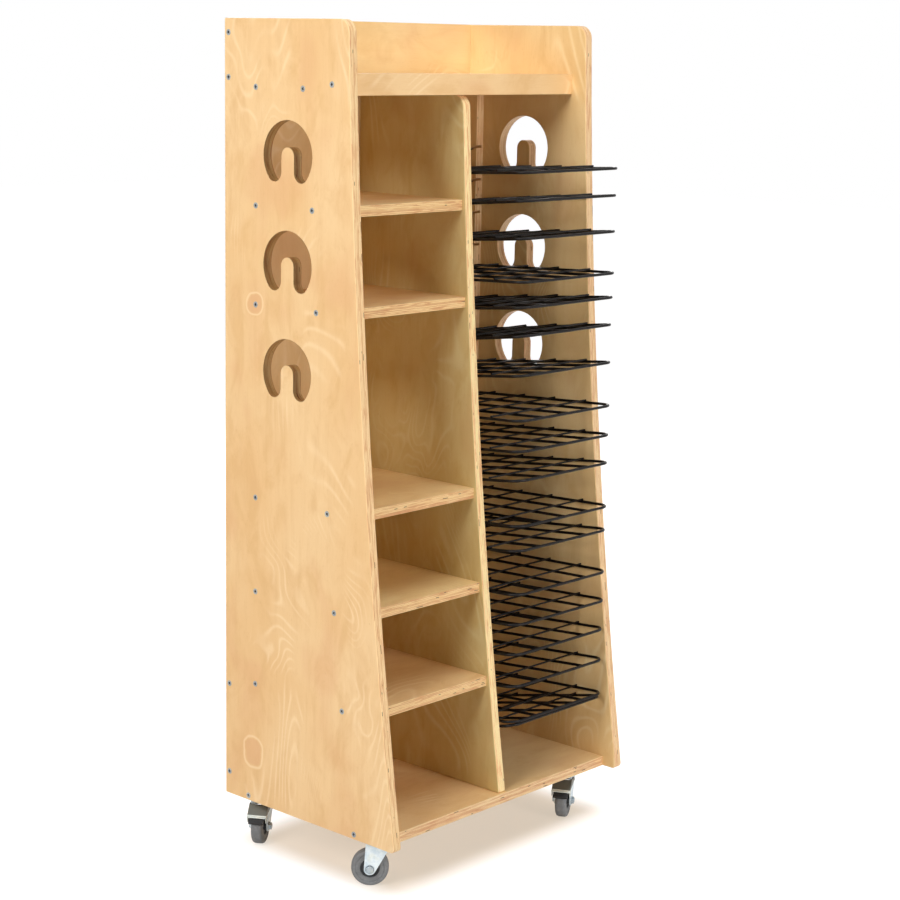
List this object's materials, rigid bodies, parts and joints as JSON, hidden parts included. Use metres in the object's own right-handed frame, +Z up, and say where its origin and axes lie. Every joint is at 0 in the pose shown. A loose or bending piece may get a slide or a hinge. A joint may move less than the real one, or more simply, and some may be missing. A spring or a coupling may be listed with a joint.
{
  "type": "art drying rack",
  "caption": "Tall mobile plywood unit on swivel casters: fixed shelves on the left, hinged wire drying racks on the right, a railed top tray and horseshoe hand-holds in both sides.",
  "frame": {"origin": "on the floor, at the middle of the plan outline", "axes": "+X to the right seen from the front, +Y to the back, +Z up"},
  "size_m": [0.6159, 0.4142, 1.436],
  "materials": {
    "birch_ply": "satin clear lacquer on birch plywood, layered edges",
    "zinc_screws": "bright zinc plate",
    "zinc_steel": "bright zinc plate",
    "grey_rubber": "matte",
    "dark_plastic": "matte",
    "black_rubber": "matte",
    "black_wire": "gloss black coating"
  },
  "bodies": {
    "frame": {"left_side_panel": "birch_ply", "right_side_panel": "birch_ply", "divider_panel": "birch_ply", "bottom_board": "birch_ply", "top_shelf": "birch_ply", "top_rail": "birch_ply", "header_board": "birch_ply", "lower_back_board": "birch_ply", "back_panel": "birch_ply", "left_batten": "birch_ply", "right_batten": "birch_ply", "carcass_screws": "zinc_screws", "caster_screws": "zinc_screws", "shelf_1": "birch_ply", "shelf_2": "birch_ply", "shelf_3": "birch_ply", "shelf_4": "birch_ply", "shelf_5": "birch_ply", "caster_plate_front_left": "zinc_steel", "caster_plate_rear_left": "zinc_steel", "caster_plate_front_right": "zinc_steel", "caster_plate_rear_right": "zinc_steel"},
    "rack_01": {"wire_rack_01": "black_wire"},
    "rack_02": {"wire_rack_02": "black_wire"},
    "rack_03": {"wire_rack_03": "black_wire"},
    "rack_04": {"wire_rack_04": "black_wire"},
    "rack_05": {"wire_rack_05": "black_wire"},
    "rack_06": {"wire_rack_06": "black_wire"},
    "rack_07": {"wire_rack_07": "black_wire"},
    "rack_08": {"wire_rack_08": "black_wire"},
    "rack_09": {"wire_rack_09": "black_wire"},
    "rack_10": {"wire_rack_10": "black_wire"},
    "rack_11": {"wire_rack_11": "black_wire"},
    "rack_12": {"wire_rack_12": "black_wire"},
    "rack_13": {"wire_rack_13": "black_wire"},
    "rack_14": {"wire_rack_14": "black_wire"},
    "rack_15": {"wire_rack_15": "black_wire"},
    "rack_16": {"wire_rack_16": "black_wire"},
    "rack_17": {"wire_rack_17": "black_wire"},
    "rack_18": {"wire_rack_18": "black_wire"},
    "swivel_front_left": {"fork_front_left": "zinc_steel", "axle_bolt_front_left": "zinc_steel"},
    "wheel_front_left": {"tyre_front_left": "grey_rubber", "hub_front_left": "dark_plastic"},
    "swivel_rear_left": {"fork_rear_left": "zinc_steel", "axle_bolt_rear_left": "zinc_steel"},
    "wheel_rear_left": {"tyre_rear_left": "grey_rubber", "hub_rear_left": "dark_plastic"},
    "pedal_rear_left": {"brake_pedal_rear_left": "zinc_steel", "brake_pad_rear_left": "black_rubber"},
    "swivel_front_right": {"fork_front_right": "zinc_steel", "axle_bolt_front_right": "zinc_steel"},
    "wheel_front_right": {"tyre_front_right": "grey_rubber", "hub_front_right": "dark_plastic"},
    "pedal_front_right": {"brake_pedal_front_right": "zinc_steel", "brake_pad_front_right": "black_rubber"},
    "swivel_rear_right": {"fork_rear_right": "zinc_steel", "axle_bolt_rear_right": "zinc_steel"},
    "wheel_rear_right": {"tyre_rear_right": "grey_rubber", "hub_rear_right": "dark_plastic"}
  },
  "joints": [
    {"name": "rack_01_tilt", "type": "hinge", "parent": "frame", "child": "rack_01", "pos_m": [0.151, 0.1731, 1.207], "axis": [-1, 0, 0], "range_deg": [0, 29.4]},
    {"name": "rack_02_tilt", "type": "hinge", "parent": "frame", "child": "rack_02", "pos_m": [0.151, 0.1731, 1.1465], "axis": [-1, 0, 0], "range_deg": [0, 6.7]},
    {"name": "rack_03_tilt", "type": "hinge", "parent": "frame", "child": "rack_03", "pos_m": [0.151, 0.1731, 1.086], "axis": [-1, 0, 0], "range_deg": [0, 9.3]},
    {"name": "rack_04_tilt", "type": "hinge", "parent": "frame", "child": "rack_04", "pos_m": [0.151, 0.1731, 1.0255], "axis": [-1, 0, 0], "range_deg": [0, 11]},
    {"name": "rack_05_tilt", "type": "hinge", "parent": "frame", "child": "rack_05", "pos_m": [0.151, 0.1731, 0.965], "axis": [-1, 0, 0], "range_deg": [0, 6.1]},
    {"name": "rack_06_tilt", "type": "hinge", "parent": "frame", "child": "rack_06", "pos_m": [0.151, 0.1731, 0.9045], "axis": [-1, 0, 0], "range_deg": [0, 7]},
    {"name": "rack_07_tilt", "type": "hinge", "parent": "frame", "child": "rack_07", "pos_m": [0.151, 0.1731, 0.844], "axis": [-1, 0, 0], "range_deg": [0, 10]},
    {"name": "rack_08_tilt", "type": "hinge", "parent": "frame", "child": "rack_08", "pos_m": [0.151, 0.1731, 0.7835], "axis": [-1, 0, 0], "range_deg": [0, 11.7]},
    {"name": "rack_09_tilt", "type": "hinge", "parent": "frame", "child": "rack_09", "pos_m": [0.151, 0.1731, 0.723], "axis": [-1, 0, 0], "range_deg": [0, 7.7]},
    {"name": "rack_10_tilt", "type": "hinge", "parent": "frame", "child": "rack_10", "pos_m": [0.151, 0.1731, 0.6625], "axis": [-1, 0, 0], "range_deg": [0, 7.4]},
    {"name": "rack_11_tilt", "type": "hinge", "parent": "frame", "child": "rack_11", "pos_m": [0.151, 0.1731, 0.602], "axis": [-1, 0, 0], "range_deg": [0, 12.1]},
    {"name": "rack_12_tilt", "type": "hinge", "parent": "frame", "child": "rack_12", "pos_m": [0.151, 0.1731, 0.5415], "axis": [-1, 0, 0], "range_deg": [0, 6.1]},
    {"name": "rack_13_tilt", "type": "hinge", "parent": "frame", "child": "rack_13", "pos_m": [0.151, 0.1731, 0.481], "axis": [-1, 0, 0], "range_deg": [0, 11.7]},
    {"name": "rack_14_tilt", "type": "hinge", "parent": "frame", "child": "rack_14", "pos_m": [0.151, 0.1731, 0.4205], "axis": [-1, 0, 0], "range_deg": [0, 7.8]},
    {"name": "rack_15_tilt", "type": "hinge", "parent": "frame", "child": "rack_15", "pos_m": [0.151, 0.1731, 0.36], "axis": [-1, 0, 0], "range_deg": [0, 7.8]},
    {"name": "rack_16_tilt", "type": "hinge", "parent": "frame", "child": "rack_16", "pos_m": [0.151, 0.1731, 0.2995], "axis": [-1, 0, 0], "range_deg": [0, 8.5]},
    {"name": "rack_17_tilt", "type": "hinge", "parent": "frame", "child": "rack_17", "pos_m": [0.151, 0.1731, 0.239], "axis": [-1, 0, 0], "range_deg": [0, 9.5]},
    {"name": "rack_18_tilt", "type": "hinge", "parent": "frame", "child": "rack_18", "pos_m": [0.151, 0.1731, 0.1785], "axis": [-1, 0, 0], "range_deg": [-8.85, 0]},
    {"name": "swivel_front_left", "type": "hinge", "parent": "frame", "child": "swivel_front_left", "pos_m": [-0.257, -0.1379, 0.078], "axis": [0, 0, 1], "continuous": true},
    {"name": "wheel_front_left", "type": "hinge", "parent": "swivel_front_left", "child": "wheel_front_left", "pos_m": [-0.27178, -0.1216, 0.032], "axis": [-0.7408, -0.6717, 0], "continuous": true},
    {"name": "swivel_rear_left", "type": "hinge", "parent": "frame", "child": "swivel_rear_left", "pos_m": [-0.257, 0.1601, 0.078], "axis": [0, 0, 1], "continuous": true},
    {"name": "wheel_rear_left", "type": "hinge", "parent": "swivel_rear_left", "child": "wheel_rear_left", "pos_m": [-0.27555, 0.14828, 0.032], "axis": [0.5373, -0.8434, 0], "continuous": true},
    {"name": "brake_rear_left", "type": "hinge", "parent": "swivel_rear_left", "child": "pedal_rear_left", "pos_m": [-0.26712, 0.15365, 0.0695], "axis": [-0.5373, 0.8434, 0], "range_deg": [0, 10]},
    {"name": "swivel_front_right", "type": "hinge", "parent": "frame", "child": "swivel_front_right", "pos_m": [0.229, -0.1379, 0.078], "axis": [0, 0, 1], "continuous": true},
    {"name": "wheel_front_right", "type": "hinge", "parent": "swivel_front_right", "child": "wheel_front_right", "pos_m": [0.20958, -0.14823, 0.032], "axis": [0.4695, -0.8829, 0], "continuous": true},
    {"name": "brake_front_right", "type": "hinge", "parent": "swivel_front_right", "child": "pedal_front_right", "pos_m": [0.2184, -0.14353, 0.0695], "axis": [-0.4695, 0.8829, 0], "range_deg": [0, 10]},
    {"name": "swivel_rear_right", "type": "hinge", "parent": "frame", "child": "swivel_rear_right", "pos_m": [0.229, 0.1601, 0.078], "axis": [0, 0, 1], "continuous": true},
    {"name": "wheel_rear_right", "type": "hinge", "parent": "swivel_rear_right", "child": "wheel_rear_right", "pos_m": [0.20995, 0.1711, 0.032], "axis": [-0.5, -0.866, 0], "continuous": true}
  ]
}
